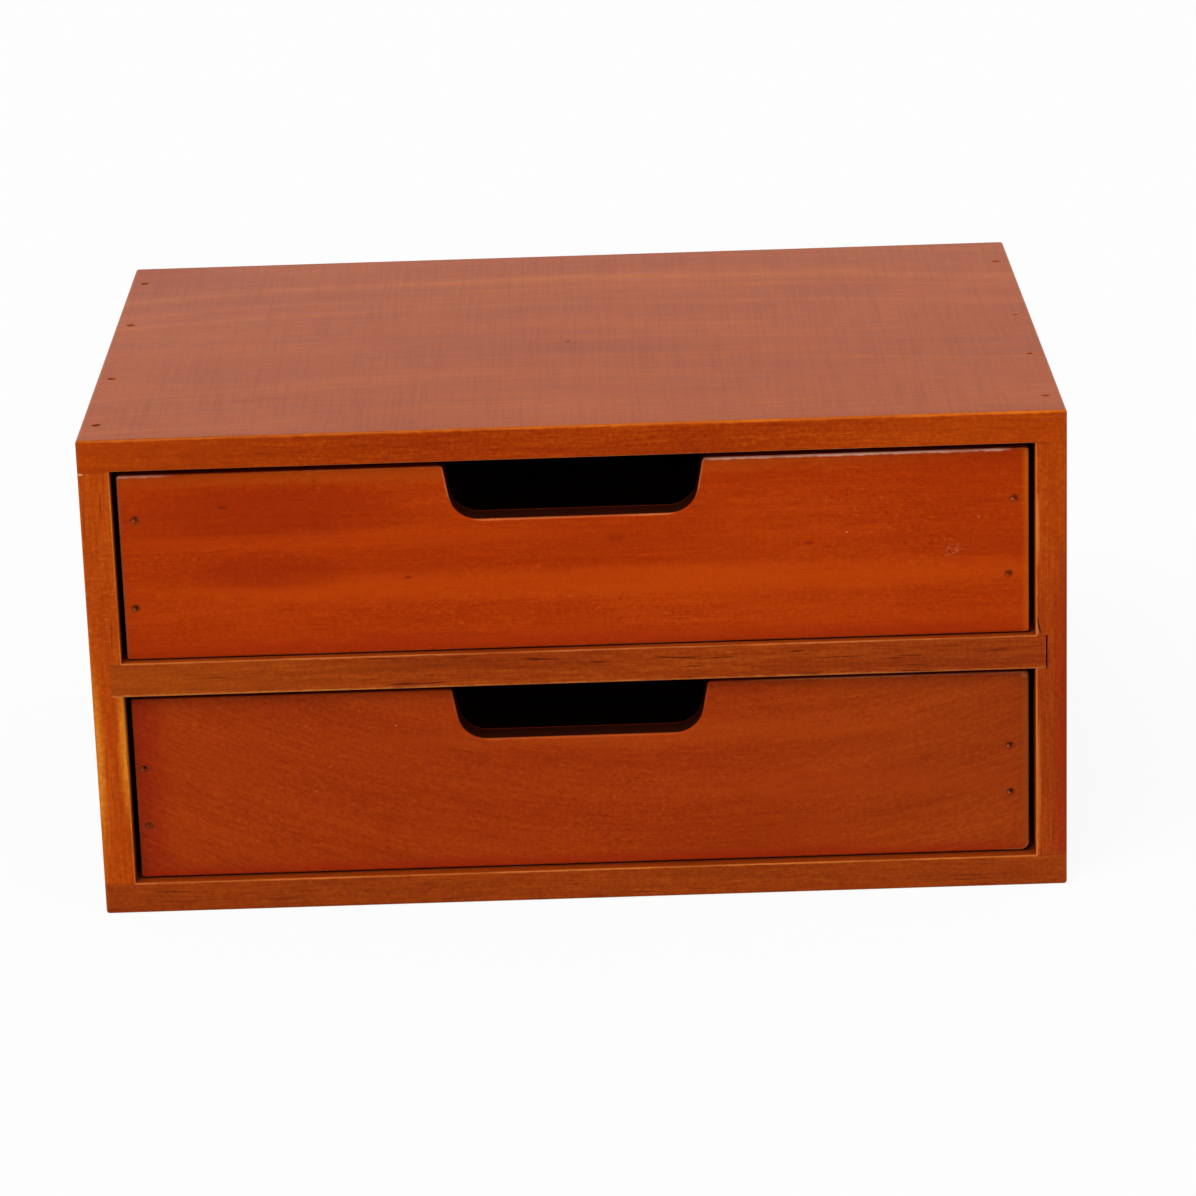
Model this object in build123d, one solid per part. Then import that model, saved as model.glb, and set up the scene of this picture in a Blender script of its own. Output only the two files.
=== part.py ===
from build123d import *
import os

# A two-drawer desk box of stained boards, nailed together with sunk brads.
# Lengths are millimetres. X runs to the right, Y from the front to the back and Z up,
# and the origin lies under the middle of the base.

# Case: the top and the bottom board run over the ends of the two sides
case_width = 250.0
case_depth = 180.0
top_thickness = 8.4
bottom_thickness = 8.2
side_thickness = 8.0
shelf_thickness = 9.0
upper_opening_height = 51.2
lower_opening_height = 51.2
shelf_dado_depth = 3.0
shelf_end_gap = 0.4
outer_arris_radius = 0.8
opening_arris_radius = 0.5

# Back panel: plywood let into a rebate round the back of the case
back_panel_thickness = 3.0
back_rebate_width = 4.0
back_panel_slack = 0.3

# Drawers: nailed boxes that slide on the shelf and on the bottom board
drawer_side_gap = 1.5
drawer_back_gap = 0.4
upper_drawer_recess = 2.2
lower_drawer_recess = 3.4
drawer_front_thickness = 8.0
drawer_front_lift = 0.4
drawer_front_head_gap = 1.8
drawer_front_arris_radius = 0.5
drawer_front_corner_radius = 0.7
lower_front_worn_corner_radius = 2.2
drawer_side_thickness = 8.0
drawer_side_drop = 3.0
drawer_side_arris_radius = 0.8
drawer_back_thickness = 8.0
drawer_bottom_thickness = 3.0
drawer_bottom_lift = 4.0
drawer_groove_depth = 3.0
drawer_groove_slack = 0.2

# Finger notch in the top edge of each drawer front
notch_mouth_width = 66.0
notch_floor_width = 61.0
notch_corner_radius = 7.5
notch_lip_radius = 1.0
upper_notch_depth = 14.4
lower_notch_depth = 13.8

# Brads: round wire with a small head and a point, punched below the face that they are driven into
brad_length = 20.0
panel_brad_length = 12.0
brad_wire_diameter = 1.2
brad_head_diameter = 1.8
brad_head_height = 0.8
brad_point_length = 1.5
brad_sink = 0.6
brad_hole_slack = 0.05
brad_pit_mouth_diameter = 2.3
brad_pit_flare_depth = 0.25

# Places of the brads, as shares of the board that they run along; in the drawer fronts,
# first of the drawer side's thickness from its outer face, then of the front's height
top_left_brad_shares = (0.08, 0.33, 0.64, 0.90)
top_right_brad_shares = (0.08, 0.31, 0.54, 0.87)
bottom_brad_shares = (0.08, 0.36, 0.64, 0.92)
shelf_brad_shares = (0.15, 0.50, 0.85)
panel_brad_shares = (0.10, 0.50, 0.90)
upper_left_front_brad_shares = ((0.37, 0.28), (0.51, 0.76))
upper_right_front_brad_shares = ((0.65, 0.32), (0.46, 0.73))
lower_left_front_brad_shares = ((0.33, 0.29), (0.28, 0.61))
lower_right_front_brad_shares = ((0.60, 0.33), (0.62, 0.59))
drawer_back_brad_shares = (0.25, 0.75)
drawer_bottom_brad_shares = (0.15, 0.50, 0.85)

# How far a cutting shape runs past the face that it opens
overrun = 5.0

# Turns that point a brad, drawn with its point down, along the way it is driven
driven_down = Rot(0, 0, 0)
driven_up = Rot(180, 0, 0)
driven_back = Rot(90, 0, 0)
driven_forward = Rot(-90, 0, 0)
driven_right = Rot(0, -90, 0)
driven_left = Rot(0, 90, 0)

# Levels and planes that the pieces share
front_y = -case_depth / 2
back_y = case_depth / 2
panel_y = back_y - back_panel_thickness
outer_x = case_width / 2
inner_x = outer_x - side_thickness
shelf_z = bottom_thickness + lower_opening_height
upper_floor_z = shelf_z + shelf_thickness
ceiling_z = upper_floor_z + upper_opening_height
case_height = ceiling_z + top_thickness
drawer_length = panel_y - front_y - max(upper_drawer_recess, lower_drawer_recess) - drawer_back_gap


def board(x_low, x_high, y_low, y_high, z_low, z_high):
    """A squared board between two places along each axis."""
    centre = Pos((x_low + x_high) / 2, (y_low + y_high) / 2, (z_low + z_high) / 2)
    return centre * Box(x_high - x_low, y_high - y_low, z_high - z_low)


def along(low, high, shares):
    """Places at these shares of the way from low to high."""
    return [low + (high - low) * share for share in shares]


def brad_solid(length, slack, mouth):
    """A turned brad, point down, its head under z = 0; slack and mouth make it the hole that it fills."""
    head = brad_head_diameter / 2 + slack
    wire = brad_wire_diameter / 2 + slack
    neck = -brad_head_height - slack
    point = -length - slack
    shoulder = point + brad_point_length
    outline = [(0, point), (wire, shoulder), (wire, neck), (head, neck), *mouth]
    return revolve(Plane.XZ * Polygon(*outline, align=None), Axis.Z)


def drive(places, length):
    """The brads driven in at these places, as one group, and the holes that they fill."""
    seat = Pos(0, 0, -brad_sink)
    brad = brad_solid(length, 0, [(brad_head_diameter / 2, 0), (0, 0)])
    flare = brad_sink - brad_pit_flare_depth
    rim = brad_pit_mouth_diameter / 2
    above = brad_sink + overrun
    pit = [(brad_head_diameter / 2 + brad_hole_slack, flare), (rim, brad_sink), (rim, above), (0, above)]
    hole = brad_solid(length, brad_hole_slack, pit)
    brads = Compound(children=[place * seat * brad for place in places])
    holes = [place * seat * hole for place in places]
    return brads, holes


def case_form():
    """The glued-up case in one, with the arrises that are sanded after it is put together."""
    form = board(-outer_x, outer_x, front_y, back_y, 0, case_height)
    form = fillet(form.edges(), outer_arris_radius)
    for floor, ceiling in ((bottom_thickness, shelf_z), (upper_floor_z, ceiling_z)):
        form -= board(-inner_x, inner_x, front_y - overrun, back_y, floor, ceiling)
    rebate_x = inner_x + back_rebate_width
    rebate_low = bottom_thickness - back_rebate_width
    rebate_high = ceiling_z + back_rebate_width
    form -= board(-rebate_x, rebate_x, panel_y, back_y + overrun, rebate_low, rebate_high)
    front_face = form.faces().sort_by(Axis.Y)[0]
    rims = [edge for wire in front_face.inner_wires() for edge in wire.edges()]
    return form.fillet(opening_arris_radius, rims)


def case_pieces():
    """The case's boards, its back panel and its brads, by name."""
    form = case_form()
    dado_x = inner_x + shelf_dado_depth
    dadoes = board(-dado_x, dado_x, front_y, panel_y, shelf_z, upper_floor_z)
    side_blank = board(inner_x, outer_x, front_y, back_y, bottom_thickness, ceiling_z) - dadoes
    # The shelf is driven home in the left dado, so a thin gap shows at its right end
    shelf_blank = board(-dado_x, dado_x - shelf_end_gap, front_y, panel_y, shelf_z, upper_floor_z)
    top_board = form & board(-outer_x, outer_x, front_y, back_y, ceiling_z, case_height)
    bottom_board = form & board(-outer_x, outer_x, front_y, back_y, 0, bottom_thickness)
    right_side = form & side_blank
    left_side = form & mirror(side_blank, Plane.YZ)
    shelf = form & shelf_blank

    panel_x = inner_x + back_rebate_width - back_panel_slack
    panel_low = bottom_thickness - back_rebate_width + back_panel_slack
    panel_high = ceiling_z + back_rebate_width - back_panel_slack
    back_panel = board(-panel_x, panel_x, panel_y, back_y, panel_low, panel_high)

    side_middle = outer_x - side_thickness / 2
    left_places = along(front_y, back_y, top_left_brad_shares)
    right_places = along(front_y, back_y, top_right_brad_shares)
    top_places = [Pos(-side_middle, y, case_height) * driven_down for y in left_places]
    top_places += [Pos(side_middle, y, case_height) * driven_down for y in right_places]
    top_brads, top_holes = drive(top_places, brad_length)

    bottom_places = []
    for y in along(front_y, back_y, bottom_brad_shares):
        bottom_places += [Pos(x, y, 0) * driven_up for x in (-side_middle, side_middle)]
    bottom_brads, bottom_holes = drive(bottom_places, brad_length)

    shelf_middle = (shelf_z + upper_floor_z) / 2
    shelf_places = []
    for y in along(front_y, panel_y, shelf_brad_shares):
        shelf_places.append(Pos(-outer_x, y, shelf_middle) * driven_right)
        shelf_places.append(Pos(outer_x, y, shelf_middle) * driven_left)
    shelf_brads, shelf_holes = drive(shelf_places, brad_length)

    ledge = back_rebate_width / 2
    panel_spots = []
    for z in (bottom_thickness - ledge, shelf_middle, ceiling_z + ledge):
        panel_spots += [(x, z) for x in along(-inner_x, inner_x, panel_brad_shares)]
    for z in ((bottom_thickness + shelf_z) / 2, (upper_floor_z + ceiling_z) / 2):
        panel_spots += [(x, z) for x in (-inner_x - ledge, inner_x + ledge)]
    panel_places = [Pos(x, back_y, z) * driven_forward for x, z in panel_spots]
    back_panel_brads, panel_holes = drive(panel_places, panel_brad_length)

    side_holes = top_holes + bottom_holes + shelf_holes + panel_holes
    return {
        "top_board": top_board - (top_holes + panel_holes),
        "bottom_board": bottom_board - (bottom_holes + panel_holes),
        "left_side": left_side - side_holes,
        "right_side": right_side - side_holes,
        "shelf": shelf - (shelf_holes + panel_holes),
        "back_panel": back_panel - panel_holes,
        "top_brads": top_brads,
        "bottom_brads": bottom_brads,
        "shelf_brads": shelf_brads,
        "back_panel_brads": back_panel_brads,
    }


def drawer_front(half_width, low, high, front, notch_depth, worn_corner):
    """A drawer front with its finger notch, small corners, of which one is worn rounder, and eased edges."""
    mouth = notch_mouth_width / 2
    floor = notch_floor_width / 2
    notch_z = high - notch_depth
    right_half = [(half_width, low), (half_width, high), (mouth, high), (floor, notch_z)]
    left_half = [(-x, z) for x, z in reversed(right_half)]
    corner = drawer_front_corner_radius
    right_radii = (worn_corner, corner, notch_lip_radius, notch_corner_radius)
    left_radii = (notch_corner_radius, notch_lip_radius, corner, corner)
    outline = Polygon(*right_half, *left_half, align=None)
    for point, radius in zip(right_half + left_half, right_radii + left_radii):
        outline = fillet(outline.vertices().sort_by_distance(point)[0], radius)
    front_plane = Plane((0, front, 0), (1, 0, 0), (0, -1, 0))
    front_board = extrude(front_plane * outline, -drawer_front_thickness)
    face = front_board.faces().sort_by(Axis.Y)[0]
    return front_board.fillet(drawer_front_arris_radius, face.outer_wire().edges())


def drawer_pieces(name, floor, ceiling, recess, notch_depth, worn_corner, left_shares, right_shares):
    """One drawer's boards, its bottom and its brads, by name, resting on the floor of its opening."""
    half_width = inner_x - drawer_side_gap
    inside_x = half_width - drawer_side_thickness
    front = front_y + recess
    inside_front = front + drawer_front_thickness
    back = front + drawer_length
    inside_back = back - drawer_back_thickness
    front_low = floor + drawer_front_lift
    front_high = ceiling - drawer_front_head_gap
    side_high = front_high - drawer_side_drop
    bottom_low = floor + drawer_bottom_lift
    bottom_high = bottom_low + drawer_bottom_thickness

    groove_x = inside_x + drawer_groove_depth
    groove_y = inside_front - drawer_groove_depth
    groove_high = bottom_high + drawer_groove_slack
    groove = board(-groove_x, groove_x, groove_y, back + overrun, bottom_low, groove_high)
    bottom_x = groove_x - drawer_groove_slack
    bottom_y = groove_y + drawer_groove_slack
    bottom = board(-bottom_x, bottom_x, bottom_y, back, bottom_low, bottom_high)
    front_board = drawer_front(half_width, front_low, front_high, front, notch_depth, worn_corner)
    front_board -= groove
    right_side = board(inside_x, half_width, inside_front, back, floor, side_high)
    top_edges = right_side.edges().filter_by(Axis.Y).group_by(Axis.Z)[-1]
    right_side = fillet(top_edges, drawer_side_arris_radius) - groove
    left_side = mirror(right_side, Plane.YZ)
    back_board = board(-inside_x, inside_x, inside_back, back, bottom_high, side_high)
    top_edges = back_board.edges().filter_by(Axis.X).group_by(Axis.Z)[-1]
    back_board = fillet(top_edges, drawer_side_arris_radius)

    front_places = []
    for outer, inner, brad_shares in (
        (-half_width, -inside_x, left_shares),
        (half_width, inside_x, right_shares),
    ):
        for across, up in brad_shares:
            x = outer + (inner - outer) * across
            z = front_low + (front_high - front_low) * up
            front_places.append(Pos(x, front, z) * driven_back)
    front_brads, front_holes = drive(front_places, brad_length)

    back_middle = (inside_back + back) / 2
    back_places = []
    for z in along(bottom_high, side_high, drawer_back_brad_shares):
        back_places.append(Pos(-half_width, back_middle, z) * driven_right)
        back_places.append(Pos(half_width, back_middle, z) * driven_left)
    back_brads, back_holes = drive(back_places, brad_length)

    bottom_spots = along(-inside_x, inside_x, drawer_bottom_brad_shares)
    bottom_places = [Pos(x, back_middle, bottom_low) * driven_up for x in bottom_spots]
    bottom_brads, bottom_holes = drive(bottom_places, panel_brad_length)

    return {
        f"{name}_front": front_board - front_holes,
        f"{name}_left_side": left_side - (front_holes + back_holes),
        f"{name}_right_side": right_side - (front_holes + back_holes),
        f"{name}_back": back_board - (back_holes + bottom_holes),
        f"{name}_bottom": bottom - bottom_holes,
        f"{name}_front_brads": front_brads,
        f"{name}_back_brads": back_brads,
        f"{name}_bottom_brads": bottom_brads,
    }


pieces = case_pieces()
pieces |= drawer_pieces(
    "upper_drawer",
    upper_floor_z,
    ceiling_z,
    upper_drawer_recess,
    upper_notch_depth,
    drawer_front_corner_radius,
    upper_left_front_brad_shares,
    upper_right_front_brad_shares,
)
pieces |= drawer_pieces(
    "lower_drawer",
    bottom_thickness,
    shelf_z,
    lower_drawer_recess,
    lower_notch_depth,
    lower_front_worn_corner_radius,
    lower_left_front_brad_shares,
    lower_right_front_brad_shares,
)

os.makedirs("parts", exist_ok=True)
for piece_name, piece in pieces.items():
    export_step(piece, f"parts/{piece_name}.step")
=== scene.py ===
import math

import bmesh
import bpy
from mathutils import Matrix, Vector


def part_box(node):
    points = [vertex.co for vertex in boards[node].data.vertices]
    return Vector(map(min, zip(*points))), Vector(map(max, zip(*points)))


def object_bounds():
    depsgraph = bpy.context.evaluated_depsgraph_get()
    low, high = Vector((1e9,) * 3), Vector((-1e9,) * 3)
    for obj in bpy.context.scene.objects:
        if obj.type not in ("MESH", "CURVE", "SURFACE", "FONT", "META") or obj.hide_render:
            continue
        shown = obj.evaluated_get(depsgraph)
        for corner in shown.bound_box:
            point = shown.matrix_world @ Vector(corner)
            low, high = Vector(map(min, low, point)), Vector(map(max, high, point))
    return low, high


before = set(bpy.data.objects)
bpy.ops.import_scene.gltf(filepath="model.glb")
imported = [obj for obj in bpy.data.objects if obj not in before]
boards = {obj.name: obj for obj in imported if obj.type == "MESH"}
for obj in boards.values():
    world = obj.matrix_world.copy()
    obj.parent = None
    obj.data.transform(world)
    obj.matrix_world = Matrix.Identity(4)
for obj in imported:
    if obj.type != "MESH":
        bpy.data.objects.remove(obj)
cad_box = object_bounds()


# Bottom board: a plain softwood board that the two sides stand on, stained honey brown, with satin varnish.
# Its grain runs from left to right. It is nailed up into the sides and sanded flush with them all round.
class Strand:
    """A value, colour or vector on its way through a finish; sums on values add Math nodes."""

    def __init__(self, finish, socket):
        self.finish = finish
        self.socket = socket

    def sum(self, operation, *terms):
        return self.finish.add("ShaderNodeMath", {"operation": operation}, dict(enumerate(terms)))

    def __add__(self, other):
        return self.sum("ADD", self, other)

    def __radd__(self, other):
        return self.sum("ADD", other, self)

    def __sub__(self, other):
        return self.sum("SUBTRACT", self, other)

    def __rsub__(self, other):
        return self.sum("SUBTRACT", other, self)

    def __mul__(self, other):
        return self.sum("MULTIPLY", self, other)

    def __rmul__(self, other):
        return self.sum("MULTIPLY", other, self)

    def __truediv__(self, other):
        return self.sum("DIVIDE", self, other)

    def __abs__(self):
        return self.sum("ABSOLUTE", self)

    def root(self):
        return self.sum("SQRT", self)

    def lesser(self, other):
        return self.sum("MINIMUM", self, other)

    def greater(self, other):
        return self.sum("MAXIMUM", self, other)

    def fade(self, none, full):
        """0 where the value is at none or beyond it, 1 where it is at full, with a soft turn between."""
        sockets = {"Value": self, "From Min": min(none, full), "From Max": max(none, full)}
        if none > full:
            sockets.update({"To Min": 1.0, "To Max": 0.0})
        return self.finish.add("ShaderNodeMapRange", {"interpolation_type": "SMOOTHSTEP"}, sockets)


class Finish:
    """A material or world in the making. Every node comes from add, with its settings and its sockets."""

    noise_middle = 0.5

    def __init__(self, owner):
        self.owner = owner
        owner.use_nodes = True
        self.nodes = owner.node_tree.nodes
        self.links = owner.node_tree.links
        self.nodes.clear()

    def add(self, kind, settings, sockets, give=0):
        node = self.nodes.new(kind)
        for setting, value in settings.items():
            if setting == "stops":
                stops = node.color_ramp.elements
                while len(stops) < len(value):
                    stops.new(1.0)
                for stop, (place, colour) in zip(stops, value):
                    stop.position = place
                    stop.color = colour
            else:
                setattr(node, setting, value)
        for socket, value in sockets.items():
            if isinstance(value, Strand):
                self.links.new(value.socket, node.inputs[socket])
            else:
                node.inputs[socket].default_value = value
        return Strand(self, node.outputs[give]) if node.outputs else None

    def split(self, vector):
        return [self.add("ShaderNodeSeparateXYZ", {}, {0: vector}, axis) for axis in "XYZ"]

    def join(self, x, y, z):
        return self.add("ShaderNodeCombineXYZ", {}, {"X": x, "Y": y, "Z": z})

    def speckle(self, place, per_metre, detail=2.0):
        """Noise about 0, with this many features to the metre along each axis."""
        stretched = self.add("ShaderNodeVectorMath", {"operation": "MULTIPLY"}, {0: place, 1: per_metre})
        noise = self.add("ShaderNodeTexNoise", {}, {"Vector": stretched, "Scale": 1.0, "Detail": detail})
        return noise - self.noise_middle

    def mix(self, share, first, second):
        """Two colours mixed; the Mix node's colour sockets come after those for numbers and vectors."""
        factor, first_colour, second_colour, mixed_colour = 0, 6, 7, 2
        sockets = {factor: share, first_colour: first, second_colour: second}
        return self.add("ShaderNodeMix", {"data_type": "RGBA"}, sockets, mixed_colour)


def srgb(red, green, blue):
    """A colour as picked on a screen, 0 to 255, as the light that it stands for."""
    straight_below, straight_slope, lift, power = 0.04045, 12.92, 0.055, 2.4
    shades = [value / 255 for value in (red, green, blue)]
    light = [
        shade / straight_slope if shade <= straight_below else ((shade + lift) / (1 + lift)) ** power
        for shade in shades
    ]
    return (*light, 1.0)


mm = 0.001


class Surface(Finish):
    """The finish of a piece: the place on it, and its colour as coats and marks are laid over each other."""

    ragged_per_metre = (420, 420, 420)
    patches_per_metre = (42, 42, 42)
    patch_turn = (-0.16, 0.14)
    oval_raggedness = 0.9
    oval_turn = (1.0, 0.1)
    rub_core = 0.3
    rub_everywhere = 0.45
    rub_in_patches = 0.55

    def __init__(self, name):
        super().__init__(bpy.data.materials.new(name))
        self.place = self.add("ShaderNodeTexCoord", {}, {}, "Object")
        self.x, self.y, self.z = self.split(self.place)
        self.ragged = self.speckle(self.place, self.ragged_per_metre, detail=3)
        self.patches = self.speckle(self.place, self.patches_per_metre).fade(*self.patch_turn)

    def coat(self, shade):
        self.colour = srgb(*shade)

    def paint(self, share, shade):
        self.colour = self.mix(share, self.colour, srgb(*shade))

    def oval(self, centre, radii):
        """A soft ragged oval, as a share; it runs right through along an axis where it has no radius."""
        square = self.ragged * self.oval_raggedness
        for place, middle, radius in zip((self.x, self.y, self.z), centre, radii):
            if radius:
                off = (place - middle) / radius
                square = off * off + square
        return square.fade(*self.oval_turn)

    def rub(self, distance, width, shade, share):
        """A thin line along an edge, where sanding went through the stain; it comes and goes."""
        line = (distance + self.ragged * width).fade(width, width * self.rub_core)
        self.paint(line * (self.rub_everywhere + self.patches * self.rub_in_patches) * share, shade)

    def close(self, sockets):
        shader = self.add("ShaderNodeBsdfPrincipled", {}, {"Base Color": self.colour, **sockets})
        self.add("ShaderNodeOutputMaterial", {}, {"Surface": shader})
        return self.owner


class StainedWood(Surface):
    """A board with grain along one axis, which is stained, marked and then varnished."""

    turns = {"X": (0, 0, 0), "Y": (0, 0, math.radians(-90)), "Z": (0, math.radians(90), 0)}
    front_skin = (1.0 * mm, 0.5 * mm)
    drift_per_metre = (14, 14, 14)
    usual_shares = {
        "bands": 0.8, "streaks": 0.3, "flecks": 0.35, "blotches": 0.5, "mottle": 0.5, "pores": 0.2
    }
    middle_tone = 0.5
    tone_places = (0.0, 0.5, 1.0)
    pores_per_metre = (60, 1700, 1700)
    pore_turn = (0.16, 0.25)
    pore_shade = (72, 20, 5)
    raised = {"streaks": 0.5, "flecks": 0.6, "mottle": 0.5}
    relief = {"Strength": 0.12, "Distance": 0.2 * mm}
    satin_roughness = 0.36
    roughened = {"streaks": 0.1, "mottle": 0.15}
    gloss = {"Coat IOR": 1.1, "Coat Roughness": 0.3, "IOR": 1.1}

    def __init__(
        self, name, grain, front=None, shift=(0, 0, 0), bend=0.0, sway=4 * mm, long_bands=1.0, **grain_shares
    ):
        super().__init__(name)
        if front is not None:
            self.face = (self.y - front).fade(*self.front_skin)
        shares = {**self.usual_shares, **grain_shares}
        turn = {"Vector": self.place, "Location": shift, "Rotation": self.turns[grain]}
        u, v, w = self.split(self.add("ShaderNodeMapping", {}, turn))
        drift = self.speckle(self.place, self.drift_per_metre, detail=1) * sway
        along = self.join(u, v + drift, w + drift - u * u * bend)
        grains = {
            "bands": self.speckle(along, (4 / long_bands, 75, 75), detail=3),
            "streaks": self.speckle(along, (20, 620, 620), detail=3),
            "flecks": self.speckle(along, (130, 2400, 2400)),
            "blotches": self.speckle(along, (15, 36, 36)),
            "mottle": self.speckle(along, (950, 950, 950), detail=3),
        }
        self.tone = self.middle_tone
        for layer, grain_noise in grains.items():
            self.tone = grain_noise * shares[layer] + self.tone
        pores = self.speckle(along, self.pores_per_metre, detail=1).fade(*self.pore_turn)
        self.pores = pores * shares["pores"]
        streaks, flecks, mottle = [grains[layer] * height for layer, height in self.raised.items()]
        self.height = streaks + flecks + mottle - pores
        self.roughness = self.satin_roughness
        for layer, roughening in self.roughened.items():
            self.roughness = self.roughness + grains[layer] * roughening

    def stain(self, tones, share=None):
        """Stains the grain in a dark, a middle and a light tone; with a share, over an earlier stain."""
        stops = [(place, srgb(*shade)) for place, shade in zip(self.tone_places, tones)]
        colour = self.add("ShaderNodeValToRGB", {"stops": stops}, {"Fac": self.tone})
        self.colour = colour if share is None else self.mix(share, self.colour, colour)

    def edges(self, low, high):
        """How far the nearest edge of a box is, for a place on it: the middle one of three distances."""
        a, b, c = [
            (far - near) / 2 - abs(place - (near + far) / 2)
            for place, near, far in zip((self.x, self.y, self.z), low, high)
        ]
        return a.lesser(b).greater(a.greater(b).lesser(c))

    def mark(self, x, z, half_width, half_height, shade, share):
        """An oval mark on the front face, in millimetres."""
        oval = self.oval((x * mm, 0, z * mm), (half_width * mm, 0, half_height * mm))
        self.paint(oval * self.face * share, shade)

    def varnish(self, sheen=0.0):
        """Closes the finish under satin varnish; sheen is where it is rubbed up to a polish, as a share."""
        self.paint(self.pores, self.pore_shade)
        bump = self.add("ShaderNodeBump", {}, {"Height": self.height, **self.relief})
        return self.close({"Roughness": self.roughness, "Normal": bump, "Coat Weight": sheen, **self.gloss})


def dress(node, material):
    """Puts a finish on a piece that comes from the frame."""
    boards[node].data.materials.clear()
    boards[node].data.materials.append(material)


case_low, case_high = cad_box
case_front = case_low[1]
inner_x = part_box("right_side")[0].x
openings = (
    (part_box("bottom_board")[1].z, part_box("shelf")[0].z),
    (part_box("shelf")[1].z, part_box("top_board")[0].z),
)
# Painted shade inside the drawer openings, from a little behind the case's front edge.
inside_painted_shade = (92, 36, 10)
inside_shade_share = 0.8
inside_shade_skin = (0.4 * mm, 0.1 * mm)
inside_shade_depth = (1.4 * mm, 5 * mm)
case_edge_width = 0.6 * mm
rim_depth = (0.8 * mm, 0.3 * mm)


def finish_case_board(wood, edge_shade, edge_share, rim_shade, rim_share, rim_width):
    """Rubs a case board along the case's edges and the openings' rims, and paints shade on it inside the
    openings.
    """
    aside = abs(wood.x) - inner_x
    lower, upper = [
        aside.greater(abs(wood.z - (low + high) / 2) - (high - low) / 2)
        for low, high in openings
    ]
    rim = lower.lesser(upper)
    depth = wood.y - case_front
    # Painted shade: the board is darkened inside the openings, behind the front edge.
    wood.paint(rim.fade(*inside_shade_skin) * depth.fade(*inside_shade_depth) * inside_shade_share, inside_painted_shade)
    wood.rub(wood.edges(case_low, case_high), case_edge_width, edge_shade, edge_share)
    wood.rub(abs(rim), rim_width, rim_shade, depth.fade(*rim_depth) * rim_share)


heart_y, heart_z = 20 * mm, -110 * mm
end_stain = (112, 40, 9)
end_skin = (0.3 * mm, 0.1 * mm)
ring_stain = (76, 26, 6)
ring_share = 0.55
ring_turn = (-0.05, 0.2)
ring_waver = 0.4 * mm
ring_slope = 0.1
rings_per_metre = (520, 1, 1)


def soak_ends(wood, share):
    """Darkens the end grain at a board's left and right ends, which drank more stain, and draws its rings."""
    ends = abs(wood.x).fade(*[case_high[0] - skin for skin in end_skin])
    wood.paint(ends * share, end_stain)
    across, up = wood.y - heart_y, wood.z - heart_z
    radius = (across * across + up * up).root()
    ring_place = wood.join(radius + wood.ragged * ring_waver, wood.x * ring_slope, 0)
    rings = wood.speckle(ring_place, rings_per_metre)
    wood.paint(ends * rings.fade(*ring_turn) * ring_share, ring_stain)


bottom_tones = ((120, 42, 6), (146, 57, 10), (168, 76, 15))
bottom_wood = StainedWood(
    "bottom_board_wood", "X", shift=(0, 0, 0.5), streaks=0.6, flecks=0.8, mottle=0.9, pores=0.6
)
bottom_wood.stain(bottom_tones)
finish_case_board(
    bottom_wood, edge_shade=(186, 96, 36), edge_share=0.5,
    rim_shade=(198, 112, 48), rim_share=0.9, rim_width=0.4 * mm
)
soak_ends(bottom_wood, share=0.5)
dress("bottom_board", bottom_wood.varnish())

# Case sides: two upright boards of the same wood with upright grain, stained a brighter orange.
# They are dadoed for the shelf and nailed between the bottom and the top board. The left one has curled
# figure and yellow sapwood at its edges, the right one a splinter beside the shelf's end.
side_tones = ((144, 46, 4), (168, 63, 5), (190, 84, 12))
figured_depth = (6 * mm, 1.5 * mm)
figure_border = 6 * mm
figure_border_per_metre = (160, 160, 12)
left_wood, right_wood = [
    StainedWood(
        f"{side}_wood", "Z", front=case_front, shift=(0.3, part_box(side)[0].x, 0),
        streaks=0.6, flecks=0.7, blotches=0.8, mottle=0.9, pores=0.4
    )
    for side in ("left_side", "right_side")
]
for wood in (left_wood, right_wood):
    wood.stain(side_tones)
    border = wood.speckle(wood.place, figure_border_per_metre) * figure_border
    wood.near_front = (wood.y - case_front + border).fade(*figured_depth)
sapwood_tones = ((194, 96, 16), (220, 130, 28), (240, 162, 54))


def leave_sapwood(distance, width, middle, reach, share):
    """Stains yellow sapwood in the left side: a strip along an edge, round the middle of its stretch."""
    strip = (distance + left_wood.ragged * mm).fade(*width)
    stretch = abs(left_wood.z - middle).fade(*reach) * left_wood.near_front
    left_wood.stain(sapwood_tones, strip * stretch * share)


leave_sapwood(
    -inner_x - left_wood.x, width=(2.6 * mm, 0), middle=46 * mm, reach=(24 * mm, 4 * mm), share=0.8
)
leave_sapwood(
    left_wood.x - case_low[0],
    width=(2.8 * mm, 0.3 * mm), middle=42 * mm, reach=(34 * mm, 4 * mm), share=0.65
)
left_marks = {
    "red streak": (-121, 50, 0.9, 8, (168, 52, 4), 0.6),
    "high red streak": (-120.6, 84, 0.7, 7, (150, 46, 4), 0.4),
}
left_chip = (-124.4, 119.2, 1.1, 0.4, (226, 168, 118), 0.7)
curl_middle = 84 * mm
curl_reach = (30 * mm, 10 * mm)
curls_per_metre = (420, 420, 1500)
curl_share = 0.45
curl_shades = {
    "pale": ((0.08, 0.28), (212, 118, 36)),
    "dark": ((-0.1, -0.28), (122, 42, 6)),
}
for mark in left_marks.values():
    left_wood.mark(*mark)
curled = abs(left_wood.z - curl_middle).fade(*curl_reach) * left_wood.near_front
curls = left_wood.speckle(left_wood.place, curls_per_metre)
for curl_turn, shade in curl_shades.values():
    left_wood.paint(curls.fade(*curl_turn) * curled * curl_share, shade)
left_wood.mark(*left_chip)

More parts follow.
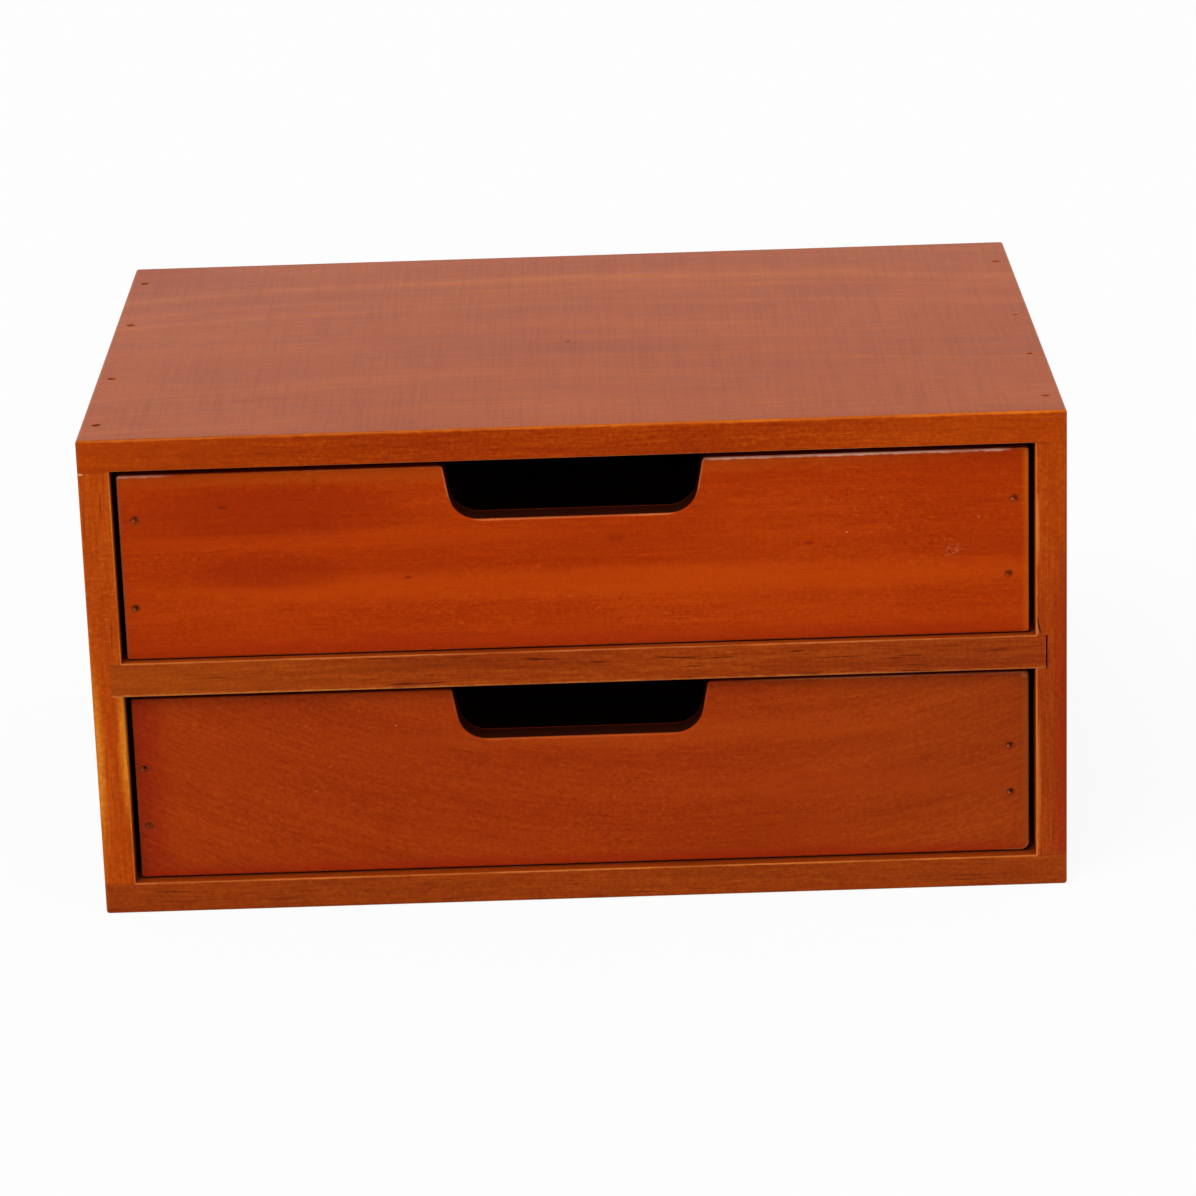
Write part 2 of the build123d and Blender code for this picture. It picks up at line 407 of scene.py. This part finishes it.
right_foot_tones = ((110, 33, 6), (132, 44, 10), (154, 60, 16))
right_foot_height = (118 * mm, 40 * mm)
right_foot_share = 0.65
red_edge = (142, 32, 14)
red_edge_width = (4 * mm, 0.5 * mm)
red_edge_height = (100 * mm, 50 * mm)
red_edge_share = 0.5
right_marks = {
    "high pale streak": (117.5, 97, 0.6, 11, (204, 118, 50), 0.6),
    "low pale streak": (117.6, 28, 0.8, 22, (196, 104, 34), 0.6),
}
right_foot = right_wood.z.fade(*right_foot_height) * right_wood.near_front
right_wood.stain(right_foot_tones, right_foot * right_foot_share)
right_outer = (case_high[0] - right_wood.x).fade(*red_edge_width) * right_wood.near_front
right_wood.paint(right_outer * right_wood.z.fade(*red_edge_height) * red_edge_share, red_edge)
for mark in right_marks.values():
    right_wood.mark(*mark)

crack_head_x, crack_head_z = 117.3 * mm, 73 * mm
crack_lean = 0.22
crack_width = (0.38 * mm, 0.12 * mm)
crack_share = 0.9
crack_shade = (48, 16, 5)
splinter_middle = 71.2 * mm
splinter_reach = (2.8 * mm, 1.6 * mm)
splinter_turn = (0.1 * mm, -0.2 * mm)
splinter_share = 0.6
splinter_shade = (188, 106, 54)
crack = right_wood.x - (crack_head_x + (crack_head_z - right_wood.z) * crack_lean)
splinter = abs(right_wood.z - splinter_middle).fade(*splinter_reach) * right_wood.face
right_wood.paint(crack.fade(*splinter_turn) * splinter * splinter_share, splinter_shade)
right_wood.paint(abs(crack).fade(*crack_width) * splinter * crack_share, crack_shade)

seam_stain = (84, 30, 8)
seam_width = (0.3 * mm, 0.05 * mm)
seam_share = 0.35
for side, wood, edge_shade, rim_shade, rim_width in (
    ("left_side", left_wood, (206, 108, 30), (222, 130, 44), 0.4 * mm),
    ("right_side", right_wood, (150, 52, 16), (214, 118, 44), 0.55 * mm),
):
    side_low, side_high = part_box(side)
    seam = (side_high.z - wood.z).lesser(wood.z - side_low.z)
    wood.paint(seam.fade(*seam_width) * seam_share, seam_stain)
    finish_case_board(
        wood, edge_shade, edge_share=0.7, rim_shade=rim_shade, rim_share=0.95, rim_width=rim_width
    )
    dress(side, wood.varnish())

# Shelf: the board between the drawers, let into dadoes in the sides and driven home to the left.
# It is a browner, more open-grained piece, with dark pores along its front edge. It is paler to the left,
# and a painted highlight runs along its lower arris.
shelf_tones = ((118, 40, 6), (145, 54, 8), (172, 78, 14))
shelf_ends = {
    "paler left": (((134, 52, 7), (160, 70, 12), (184, 92, 20)), (-20 * mm, -120 * mm), 0.7),
    "darker right": (((104, 30, 6), (128, 43, 9), (152, 62, 15)), (10 * mm, 110 * mm), 0.6),
}
# Painted highlight along the shelf's lower front arris, fading to the right.
foot_highlight_shade = (198, 118, 52)
foot_highlight_width = 0.8 * mm
foot_highlight_share = 0.9
foot_highlight_loss = 0.4
foot_highlight_turn = (-20 * mm, 100 * mm)
shelf_wood = StainedWood(
    "shelf_wood", "X", front=case_front, shift=(0, 0, 0.2), streaks=0.8, flecks=0.8, mottle=0.7, pores=0.8
)
shelf_wood.stain(shelf_tones)
for end_tones, end_turn, end_share in shelf_ends.values():
    shelf_wood.stain(end_tones, shelf_wood.x.fade(*end_turn) * end_share)
finish_case_board(
    shelf_wood, edge_shade=(186, 96, 36), edge_share=0.3,
    rim_shade=(204, 118, 56), rim_share=0.65, rim_width=0.4 * mm
)
foot_highlight = shelf_wood.face * (foot_highlight_share - shelf_wood.x.fade(*foot_highlight_turn) * foot_highlight_loss)
shelf_wood.rub(shelf_wood.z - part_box("shelf")[0].z, foot_highlight_width, foot_highlight_shade, foot_highlight)
dress("shelf", shelf_wood.varnish())

# Top board: runs over the ends of the sides, nailed down into them, with its upper face rubbed to a sheen.
# Fine sanding scratches cross there, and paler figure bows across it. Its front arris is rubbed pale, with a
# painted highlight along it, and its rear left corner has less sheen and is painted darker there, as painted
# shade.
top_tones = ((146, 56, 3), (168, 72, 4), (190, 90, 8))
top_edge_tones = ((128, 34, 1), (156, 52, 2), (186, 78, 6))
top_skin = (0.4 * mm, 0.1 * mm)
top_wood = StainedWood(
    "top_board_wood", "X", shift=(0, 0, 0.8), bands=0.4, streaks=0.5, flecks=0.8, mottle=0.9
)
top_face = top_wood.z.fade(*[case_high[2] - skin for skin in top_skin])
top_wood.stain(top_tones)
top_wood.stain(top_edge_tones, 1 - top_face)

figure_shade = (212, 110, 20)
figure_bow = 0.9
figure_waver = 12 * mm
figure_wavers_per_metre = (9, 9, 9)
figure_per_metre = (5, 150, 1)
figure_turn = (0.02, 0.3)
figure_share = 0.22
figure_bands = {
    "broad": (62 * mm, 7 * mm, 0.2),
    "narrow": (34 * mm, 3.5 * mm, 0.15),
}
waver = top_wood.speckle(top_wood.place, figure_wavers_per_metre) * figure_waver
bowed_y = top_wood.y + top_wood.x * top_wood.x * figure_bow + waver
figure = top_wood.speckle(top_wood.join(top_wood.x, bowed_y, 0), figure_per_metre)
top_wood.paint(figure.fade(*figure_turn) * top_face * figure_share, figure_shade)
for band_middle, band_width, band_share in figure_bands.values():
    top_wood.paint(abs(bowed_y - band_middle).fade(band_width, 0) * top_face * band_share, figure_shade)

# Painted shade: the rear left corner reflects less and is also painted darker and redder.
dull_corner_painted_shade = (148, 48, 6)
dull_corner_shade_share = 0.35
dull_waver = 8 * mm
dull_x = (-88 * mm, -122 * mm)
dull_y = (52 * mm, 86 * mm)
dull_corner = (top_wood.x + top_wood.ragged * dull_waver).fade(*dull_x) * top_wood.y.fade(*dull_y)
top_wood.paint(dull_corner * top_face * dull_corner_shade_share, dull_corner_painted_shade)
plain_sheen = 0.3
left_sheen = 0.1
left_sheen_x = (20 * mm, -120 * mm)
dull_sheen_loss = 0.1
top_sheen = plain_sheen + top_wood.x.fade(*left_sheen_x) * left_sheen - dull_corner * dull_sheen_loss

scratch_shade = (128, 46, 6)
scratch_share = 0.28
scratch_turn = (-0.1, 0.25)
scratch_sheen_loss = 0.2
scratched_everywhere = 0.35
scratched_in_patches = 0.65
scratches_per_metre = {
    "front to back": (1100, 22, 1),
    "left to right": (18, 1300, 1),
}
scratched = top_face * (scratched_everywhere + top_wood.patches * scratched_in_patches)
for per_metre in scratches_per_metre.values():
    scratches = top_wood.speckle(top_wood.place, per_metre)
    top_wood.paint(scratches.fade(*scratch_turn) * scratched * scratch_share, scratch_shade)
    top_sheen = top_sheen - scratches * scratch_sheen_loss
speck_shade = (84, 26, 8)
speck_share = 0.7
speck = top_wood.oval(centre=(-0.7 * mm, -7 * mm, 0), radii=(1.1 * mm, 1.6 * mm, 0))
top_wood.paint(speck * top_face * speck_share, speck_shade)

bright_end_shade = (190, 78, 6)
bright_end_share = 0.25
bright_end_x = (40 * mm, 120 * mm)
arris_highlight_shade = (216, 108, 22)
arris_highlight_width = 0.9 * mm
arris_highlight_share = 0.3
arris_highlight_right_share = 0.5
arris_highlight_right_x = (-60 * mm, 90 * mm)
bright_ends = abs(top_wood.x).fade(*bright_end_x) * (1 - top_face)
top_wood.paint(bright_ends * bright_end_share, bright_end_shade)
# Here the rim line runs along the top board's lower front arris, and it is a painted highlight.
finish_case_board(
    top_wood, edge_shade=(200, 108, 40), edge_share=0.4,
    rim_shade=(206, 124, 62), rim_share=0.7, rim_width=0.3 * mm
)
# Rubbed wear with a painted highlight along the top board's front arris, stronger to the right.
front_arris = (case_high[2] - top_wood.z).greater(top_wood.y - case_front)
arris_wear_and_highlight = arris_highlight_share + top_wood.x.fade(*arris_highlight_right_x) * arris_highlight_right_share
top_wood.rub(front_arris, arris_highlight_width, arris_highlight_shade, arris_wear_and_highlight)
soak_ends(top_wood, share=0.4)

brad_reach = 2.5 * mm
axes = {"x": 0, "y": 1, "z": 2}


def brad_places(node, across, up):
    """The middle of each brad of a node, seen along the brads: the left ones first, then from low to high."""
    groups = []
    for vertex in boards[node].data.vertices:
        spot = Vector((vertex.co[axes[across]], vertex.co[axes[up]]))
        near = [group for group in groups if (group[0] - spot).length < brad_reach]
        if near:
            near[0].append(spot)
        else:
            groups.append([spot])
    middles = [sum(group, Vector((0, 0))) / len(group) for group in groups]
    return sorted(middles, key=lambda middle: (middle[0] > 0, middle[1]))


pit_tears_per_metre = (1600, 1600, 1600)
pit_tear = 2.4
pit_core = 0.6


def mark_pits(finish, across, up, places, shares, reach, shade, face=1.0):
    """Ragged round marks of this reach at brads, each with its own share."""
    torn = finish.speckle(finish.place, pit_tears_per_metre) * (reach * pit_tear)
    for place, share in zip(places, shares):
        off_across, off_up = across - place[0], up - place[1]
        distance = (off_across * off_across + off_up * off_up).root() + torn
        finish.paint(distance.fade(reach, reach * pit_core) * face * share, shade)


# Putty in the top's pits, in a pinkish tone that is partly painted sheen, matching the varnish's reflection
# around it.
top_pit_putty_and_sheen = (190, 112, 78)
putty_reach = 1.4 * mm
pit_dark = (60, 20, 8)
pit_dark_reach = 1.2 * mm
top_places = brad_places("top_brads", "x", "y")
top_dark_shares = (0.9, 0.8, 0.8, 0.6, 0.4, 0.0, 0.0, 0.2)
top_putty_shares = (0.0, 0.0, 0.0, 0.2, 0.5, 0.95, 0.95, 0.5)
mark_pits(top_wood, top_wood.x, top_wood.y, top_places, top_putty_shares, putty_reach, top_pit_putty_and_sheen, top_face)
mark_pits(top_wood, top_wood.x, top_wood.y, top_places, top_dark_shares, pit_dark_reach, pit_dark, top_face)
dress("top_board", top_wood.varnish(top_sheen * top_face))

# Case brads: wire brads with small heads, punched below the face and stained over with the boards.
# Eight hold the top, eight the bottom, six the shelf and thirteen the back panel. Some in the top are
# puttied over.
rust_per_metre = (1500, 1500, 1500)
rust_turn = (-0.05, 0.15)
steel_roughness = 0.75
rust_roughness = 0.4
dull_ior = 1.1


def brad_finish(name, shade, worn_shade):
    """Dull steel under stain, as a finish that still takes marks."""
    steel = Surface(name)
    steel.coat(shade)
    steel.rust = steel.speckle(steel.place, rust_per_metre, detail=3)
    steel.paint(steel.rust.fade(*rust_turn), worn_shade)
    return steel


def close_brads(steel):
    return steel.close({"Roughness": steel_roughness + steel.rust * rust_roughness, "IOR": dull_ior})


stained_steel = {"shade": (44, 17, 8), "worn_shade": (92, 38, 18)}
head_putty_reach = 1.6 * mm
top_steel = brad_finish("top_brad_steel", **stained_steel)
mark_pits(top_steel, top_steel.x, top_steel.y, top_places, top_putty_shares, head_putty_reach, top_pit_putty_and_sheen)
dress("top_brads", close_brads(top_steel))
hidden_steel = close_brads(brad_finish("brad_steel", **stained_steel))
for node in ("bottom_brads", "shelf_brads", "back_panel_brads"):
    dress(node, hidden_steel)

# Back panel: three-ply let into a rebate round the back of the case and nailed there with short brads.
# Its face veneer is peeled from the log, so the grain wanders, and it took the stain darkly and dry.
ply_tones = ((90, 33, 11), (126, 54, 22), (156, 76, 33))


def ply_finish(name, shift):
    """Stained veneer with its grain from left to right, as a finish that still takes marks."""
    ply = StainedWood(
        name, "X", shift=(0, shift, 0), sway=50 * mm,
        bands=0.9, streaks=0.7, flecks=0.6, blotches=0.5, pores=0.7
    )
    ply.stain(ply_tones)
    return ply


dress("back_panel", ply_finish("back_panel_ply", shift=0.3).varnish())

# Drawer boxes: two sides nailed behind each front and a back between them, of thin boards stained dry.
# The grain runs along each board, and the upper arrises are rounded by sanding.
box_tones = ((104, 35, 8), (132, 50, 14), (158, 70, 22))
box_edge_shade = (168, 84, 34)
box_edge_width = 0.7 * mm
box_edge_share = 0.5
box_shifts = {"upper_drawer": 0.15, "lower_drawer": 0.45}
box_grains = {"left_side": "Y", "right_side": "Y", "back": "X"}
for drawer, shift in box_shifts.items():
    for piece, grain in box_grains.items():
        node = f"{drawer}_{piece}"
        box_low, box_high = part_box(node)
        box_wood = StainedWood(
            f"{node}_wood", grain, shift=(0, box_low.x, shift), streaks=0.6, flecks=0.6, pores=0.5
        )
        box_wood.stain(box_tones)
        box_wood.rub(box_wood.edges(box_low, box_high), box_edge_width, box_edge_shade, box_edge_share)
        dress(node, box_wood.varnish())

# Drawer bottoms: sheets of the same three-ply, slid into grooves from behind, under the drawer's back.
# The dark middle ply shows on the edge.
sheet_shifts = {"upper_drawer": 0.1, "lower_drawer": 0.6}
middle_ply_shade = (72, 28, 10)
middle_ply_share = 0.7
middle_ply_turn = (0.6 * mm, 0.4 * mm)
for drawer, shift in sheet_shifts.items():
    node = f"{drawer}_bottom"
    sheet_low, sheet_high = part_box(node)
    sheet = ply_finish(f"{node}_ply", shift)
    middle_ply = abs(sheet.z - (sheet_low.z + sheet_high.z) / 2).fade(*middle_ply_turn)
    sheet.paint(middle_ply * middle_ply_share, middle_ply_shade)
    dress(node, sheet.varnish())


# Upper drawer front: a flat-sawn board with a finger notch cut in its top edge, stained bright orange red.
# The grain runs level in broad soft bands. It is nailed onto the drawer sides and its arrises are rubbed.
# The notch's cut edge is painted nearly black as painted shade; a painted reflection runs along the top arris
# and a painted highlight down the right end.
def rounded(a, b, corner):
    """How far the outline of a rounded corner is, for a place a and b beyond the corner's centre."""
    out_a, out_b = a.greater(0), b.greater(0)
    return (out_a * out_a + out_b * out_b).root() + a.greater(b).lesser(0) - corner


class FrontWood(StainedWood):
    """A drawer front's board: a stained board whose sawn edges drank the stain, with a finger notch."""

    half_mouth = 33 * mm
    half_floor = 30.5 * mm
    notch_corner = 7.5 * mm
    notch_rub_width = 0.5 * mm
    nibs_per_metre = (800, 800, 1100)
    nib_turns = ((-0.12, -0.22), (0.12, 0.22))
    nib_share = 0.5
    sawn_from_front = (0.5 * mm, 1.0 * mm)
    sawn_from_back = (0.2 * mm, 0.4 * mm)
    sawn_from_edge = (0.3 * mm, 0.8 * mm)
    sawn_shade = (104, 36, 8)
    sawn_share = 0.5
    # Painted shade: the notch's cut edge is painted nearly black, standing in for the notch's shadow.
    notch_shade_turn = (1.4 * mm, 0.6 * mm)
    notch_painted_shade = (34, 13, 7)
    notch_shade_share = 0.93
    scuffs_per_metre = (900, 900, 1900)
    torn_turn = (0.04, 0.14)
    torn_share = 0.55
    soaked_turn = (-0.02, -0.1)
    soaked_share = 0.8

    def __init__(self, node, tones, nib_shades, notch_depth, **grain):
        self.low, self.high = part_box(node)
        super().__init__(f"{node}_wood", "X", front=self.low.y, **grain)
        self.stain(tones)
        nibs = self.speckle(self.place, self.nibs_per_metre)
        rough = self.patches * self.patches * self.face
        for shade, nib_turn in zip(nib_shades, self.nib_turns):
            self.paint(rough * nibs.fade(*nib_turn) * self.nib_share, shade)
        self.height = nibs * rough + self.height
        up = self.z - (self.high.z - notch_depth)
        wall = abs(self.x) - (self.half_floor + up * ((self.half_mouth - self.half_floor) / notch_depth))
        self.notch = abs(rounded(wall + self.notch_corner, self.notch_corner - up, self.notch_corner))
        from_front, from_back = self.y - self.low.y, self.high.y - self.y
        sawn = from_front.fade(*self.sawn_from_front) * from_back.fade(*self.sawn_from_back)
        inside_edges = self.edges(self.low, self.high).fade(*self.sawn_from_edge)
        self.paint(sawn * inside_edges * self.sawn_share, self.sawn_shade)
        # Painted shade along the notch's cut edge.
        self.paint(sawn * self.notch.fade(*self.notch_shade_turn) * self.notch_shade_share, self.notch_painted_shade)

    def scuff(self, x, z, half_width, half_height, torn_shade, soaked_shade):
        """An oval patch of broken scratches, torn pale and soaked dark, in millimetres."""
        oval = self.oval((x * mm, 0, z * mm), (half_width * mm, 0, half_height * mm)) * self.face
        broken = self.speckle(self.place, self.scuffs_per_metre)
        self.paint(oval * broken.fade(*self.torn_turn) * self.torn_share, torn_shade)
        self.paint(oval * broken.fade(*self.soaked_turn) * self.soaked_share, soaked_shade)

    def rub_notch(self, shade, share):
        self.rub(self.notch, self.notch_rub_width, shade, self.face * share)


upper_tones = ((138, 33, 1), (161, 48, 1), (184, 65, 3))
upper_nibs = ((116, 30, 3), (190, 80, 18))
upper_notch_depth = 14.4 * mm
upper_front = FrontWood(
    "upper_drawer_front", upper_tones, upper_nibs, upper_notch_depth, long_bands=2.5,
    bands=0.7, streaks=0.35, flecks=0.5, mottle=0.6, pores=0.1
)
upper_marks = {
    "pale band": (20, 86, 170, 5, (188, 68, 3), 0.5),
    "thin pale band": (-62, 99.5, 80, 3, (180, 60, 2), 0.4),
    "dark cloud": (-80, 107, 50, 9, (138, 32, 2), 0.5),
    "lower dark cloud": (-78, 91, 26, 6, (132, 28, 2), 0.4),
    "redder foot": (0, 69, 200, 6, (156, 40, 6), 0.5),
    "browner head": (-20, 117, 140, 4, (176, 74, 10), 0.45),
    "right fleck": (59.5, 94.4, 1.6, 0.5, (120, 30, 4), 0.7),
    "left fleck": (-42.7, 88.6, 1.0, 0.5, (110, 28, 4), 0.7),
    "high fleck": (-88.9, 108.7, 1.8, 0.5, (112, 30, 6), 0.7),
    "dark smear": (10.5, 97.3, 3.5, 1.3, (136, 38, 4), 0.5),
    "chip": (69.2, 97, 0.45, 0.3, (222, 150, 110), 0.4),
    "right chip": (102.7, 100, 0.35, 0.4, (214, 138, 98), 0.3),
    "bruise": (96.2, 91.5, 3.0, 1.9, (172, 66, 26), 0.4),
}
upper_scuff = (96.2, 91.5, 2.7, 1.7, (204, 112, 70), (104, 28, 4))
for mark in upper_marks.values():
    upper_front.mark(*mark)
upper_front.scuff(*upper_scuff)

upper_edges = upper_front.edges(upper_front.low, upper_front.high)
upper_front.rub(upper_edges, width=0.5 * mm, shade=(194, 94, 32), share=0.7)
# Painted highlight: a soft orange band down the front's right end, brightest near the top.
upper_right_highlight_shade = (202, 98, 14)
upper_right_highlight_width = (2.2 * mm, 0.3 * mm)
upper_right_highlight_share = 0.38
upper_right_highlight_head_share = 0.25
upper_right_highlight_head = (92 * mm, 114 * mm)
upper_right_highlight = (upper_front.high.x - upper_front.x).fade(*upper_right_highlight_width) * upper_front.face
upper_right_highlight_strength = upper_right_highlight_share + upper_front.z.fade(*upper_right_highlight_head) * upper_right_highlight_head_share
upper_front.paint(upper_right_highlight * upper_right_highlight_strength, upper_right_highlight_shade)
upper_left_share = 0.5
upper_left = upper_front.x - upper_front.low.x
upper_front.rub(
    upper_left, width=0.9 * mm, shade=(120, 74, 56), share=upper_front.face * upper_left_share
)
# Painted reflection: a pinkish white line along the front's top arris, over its right part and at the far
# left.
painted_sheen_right_start = (30 * mm, 36 * mm)
painted_sheen_right_end = (112 * mm, 107 * mm)
painted_sheen_left_end = (-100 * mm, -106 * mm)
painted_sheen_left_share = 0.6
painted_sheen_right = upper_front.x.fade(*painted_sheen_right_start) * upper_front.x.fade(*painted_sheen_right_end)
painted_sheen_stretch = painted_sheen_right + upper_front.x.fade(*painted_sheen_left_end) * painted_sheen_left_share
upper_top = upper_front.high.z - upper_front.z
upper_front.rub(upper_top, width=0.8 * mm, shade=(222, 172, 146), share=painted_sheen_stretch * upper_front.face)
upper_front.rub_notch(shade=(204, 108, 54), share=0.9)

# Lower drawer front: the same kind of board with a bow in its grain and a browner stain.
# Fine figure dips across it like a smile, its left end is redder, and its lower right corner is worn round,
# with a painted highlight along its curve.
lower_tones = ((128, 34, 4), (150, 49, 6), (170, 64, 10))
lower_nibs = ((104, 28, 5), (172, 74, 22))
lower_notch_depth = 13.8 * mm
lower_front = FrontWood(
    "lower_drawer_front", lower_tones, lower_nibs, lower_notch_depth, bend=1.8, shift=(-0.03, 0, 0.1),
    bands=0.6, streaks=0.4, flecks=0.6, blotches=0.4, mottle=0.8, pores=0.15
)
lower_ends = {
    "browner right": (((126, 44, 8), (150, 60, 12), (172, 76, 19)), (20 * mm, 110 * mm), 0.5),
    "redder left": (((110, 15, 7), (130, 23, 9), (150, 36, 13)), (-104 * mm, -114 * mm), 0.6),
}
lower_marks = {
    "redder foot": (0, 9, 200, 3, (156, 34, 10), 0.5),
    "pale band": (20, 44, 90, 4, (164, 62, 10), 0.4),
    "right pale band": (70, 29, 60, 5, (160, 58, 12), 0.35),
    "chip": (-47.6, 48.3, 0.35, 0.3, (206, 122, 84), 0.6),
    "left chip": (-69, 31, 0.3, 0.3, (196, 112, 76), 0.5),
    "bruised corner": (114.4, 56.7, 1.3, 0.9, (190, 122, 84), 0.5),
}
for end_tones, end_turn, end_share in lower_ends.values():
    lower_front.stain(end_tones, lower_front.x.fade(*end_turn) * lower_front.face * end_share)
for mark in lower_marks.values():
    lower_front.mark(*mark)

lower_edges = lower_front.edges(lower_front.low, lower_front.high)
lower_front.rub(lower_edges, width=0.5 * mm, shade=(176, 82, 34), share=0.5)
lower_right_shade = (152, 74, 24)
lower_right_width = (2.6 * mm, 0.4 * mm)
lower_right_share = 0.5
lower_right = (lower_front.high.x - lower_front.x).fade(*lower_right_width) * lower_front.face
lower_front.paint(lower_right * lower_right_share, lower_right_shade)
lower_worn_start = (34 * mm, 60 * mm)
lower_worn_share = 0.8
lower_worn = lower_front.x.fade(*lower_worn_start) * lower_front.face
lower_top = lower_front.high.z - lower_front.z
lower_front.rub(lower_top, width=0.5 * mm, shade=(192, 112, 70), share=lower_worn * lower_worn_share)
worn_corner = 2.2 * mm
# Painted highlight along the curve of the rounded lower right corner.
corner_highlight_width = (0.7 * mm, 0.2 * mm)
corner_highlight_x = (-8 * mm, 0)
corner_highlight_z = (-1 * mm, 0.5 * mm)
corner_highlight_share = 0.55
corner_highlight_shade = (212, 130, 68)
worn_x = lower_front.x - (lower_front.high.x - worn_corner)
worn_z = (lower_front.low.z + worn_corner) - lower_front.z
corner_highlight_line = abs(rounded(worn_x, worn_z, worn_corner)).fade(*corner_highlight_width)
corner_highlight_stretch = worn_x.fade(*corner_highlight_x) * worn_z.fade(*corner_highlight_z)
lower_front.paint(corner_highlight_line * corner_highlight_stretch * lower_front.face * corner_highlight_share, corner_highlight_shade)
lower_front.rub_notch(shade=(186, 84, 34), share=0.7)

# Drawer brads: the same wire brads, two at each end of a front, others through the sides into the back
# and up through the bottom. The fronts' pits were stopped with brown putty, which cracked and fell out in
# part, so dark cores show.
stained_putty = {
    "upper_drawer": {"shade": (160, 52, 6), "worn_shade": (178, 74, 20)},
    "lower_drawer": {"shade": (144, 48, 10), "worn_shade": (162, 70, 26)},
}
pit_marks = {
    "stain round it": (1.5 * mm, (0, 0), (122, 50, 18)),
    "dark core": (0.65 * mm, (0.1 * mm, 0.1 * mm), (46, 16, 5)),
    # A painted highlight, a pale spot at one side of the pit.
    "painted glint": (0.45 * mm, (-0.55 * mm, -0.35 * mm), (200, 122, 80)),
}
pit_shares = {
    "upper_drawer": ((0.5, 0.45, 0.3, 0.35), (0.9, 0.8, 0.6, 0.65), (0.3, 0.4, 0.1, 0.7)),
    "lower_drawer": ((0.8, 0.45, 0.35, 0.35), (0.4, 0.95, 0.95, 0.9), (0.1, 0.25, 0.5, 0.5)),
}
for drawer, wood in (("upper_drawer", upper_front), ("lower_drawer", lower_front)):
    places = brad_places(f"{drawer}_front_brads", "x", "z")
    heads = brad_finish(f"{drawer}_front_brad_putty", **stained_putty[drawer])
    for finish, face in ((wood, wood.face), (heads, 1.0)):
        for (reach, off, shade), shares in zip(pit_marks.values(), pit_shares[drawer]):
            moved = [place + Vector(off) for place in places]
            mark_pits(finish, finish.x, finish.z, moved, shares, reach, shade, face)
    dress(f"{drawer}_front", wood.varnish())
    dress(f"{drawer}_front_brads", close_brads(heads))
    dress(f"{drawer}_back_brads", hidden_steel)
    dress(f"{drawer}_bottom_brads", hidden_steel)

# Floor: a wide sheet of white paper under the box, which fades into the white surroundings.
# It takes the box's soft shadow, and it shows white to the camera and in the varnish.
floor_radius = 6.0
floor_sides = 64
floor_drop = 0.1 * mm
floor_mesh = bpy.data.meshes.new("floor")
floor_form = bmesh.new()
bmesh.ops.create_circle(floor_form, cap_ends=True, segments=floor_sides, radius=floor_radius)
bmesh.ops.translate(floor_form, verts=floor_form.verts, vec=(0, 0, -floor_drop))
floor_form.to_mesh(floor_mesh)
floor_form.free()
floor = bpy.data.objects.new("floor", floor_mesh)
bpy.context.scene.collection.objects.link(floor)


def shown(finish):
    """1 for what the camera sees, straight or in gloss or glass, and 0 for the light that falls on things."""
    camera_ray, glossy_ray, transmission_ray = [
        finish.add("ShaderNodeLightPath", {}, {}, f"Is {ray} Ray")
        for ray in ("Camera", "Glossy", "Transmission")
    ]
    return camera_ray.greater(glossy_ray).greater(transmission_ray)


white = (1, 1, 1, 1)
paper_grey = (0.86, 0.86, 0.86, 1)
glow_share = 0.92
paper = Finish(bpy.data.materials.new("floor_paper"))
matt = paper.add("ShaderNodeBsdfDiffuse", {}, {"Color": paper_grey})
glow = paper.add("ShaderNodeEmission", {}, {"Color": white, "Strength": 1.0})
blend = paper.add("ShaderNodeMixShader", {}, {0: shown(paper) * glow_share, 1: matt, 2: glow})
paper.add("ShaderNodeOutputMaterial", {}, {"Surface": blend})
floor_mesh.materials.append(paper.owner)

# Studio: white surroundings that give a plain level light, a large soft key lamp from the upper left
# and a weaker fill from the right.
room_light = 0.40
room = Finish(bpy.data.worlds.new("studio"))
bpy.context.scene.world = room.owner
level = room_light + shown(room) * (1 - room_light)
sky = room.add("ShaderNodeBackground", {}, {"Color": white, "Strength": level})
room.add("ShaderNodeOutputWorld", {}, {"Surface": sky})


def soft_sun(name, azimuth, elevation, level, spread):
    """A far, soft lamp; level is the share of a plain white light that it gives a face turned to it."""
    lamp = bpy.data.lights.new(name, "SUN")
    lamp.energy = level * math.pi
    lamp.angle = math.radians(spread)
    holder = bpy.data.objects.new(name, lamp)
    bpy.context.scene.collection.objects.link(holder)
    across, up = math.radians(azimuth), math.radians(elevation)
    source = Vector((math.sin(across) * math.cos(up), -math.cos(across) * math.cos(up), math.sin(up)))
    holder.rotation_euler = (-source).to_track_quat("-Z", "Y").to_euler()


soft_sun("key_lamp", azimuth=-30, elevation=52, level=0.62, spread=40)
soft_sun("fill_lamp", azimuth=40, elevation=25, level=0.12, spread=40)

# Camera: a long lens a little above the box, looking down at its drawers, and rolled by about two degrees.
# It stands 1.3 m away, so that the box's upright edges run nearly parallel.
camera_place = (0.00773, -1.21779, 0.44816)
camera_degrees = (72.0136, 1.7599, -0.4548)
lens = bpy.data.cameras.new("camera")
lens.sensor_width = 36
lens.lens = 140.1
camera = bpy.data.objects.new("camera", lens)
bpy.context.scene.collection.objects.link(camera)
camera.location = camera_place
camera.rotation_euler = [math.radians(angle) for angle in camera_degrees]
bpy.context.scene.camera = camera
bpy.context.scene.view_settings.view_transform = "Standard"
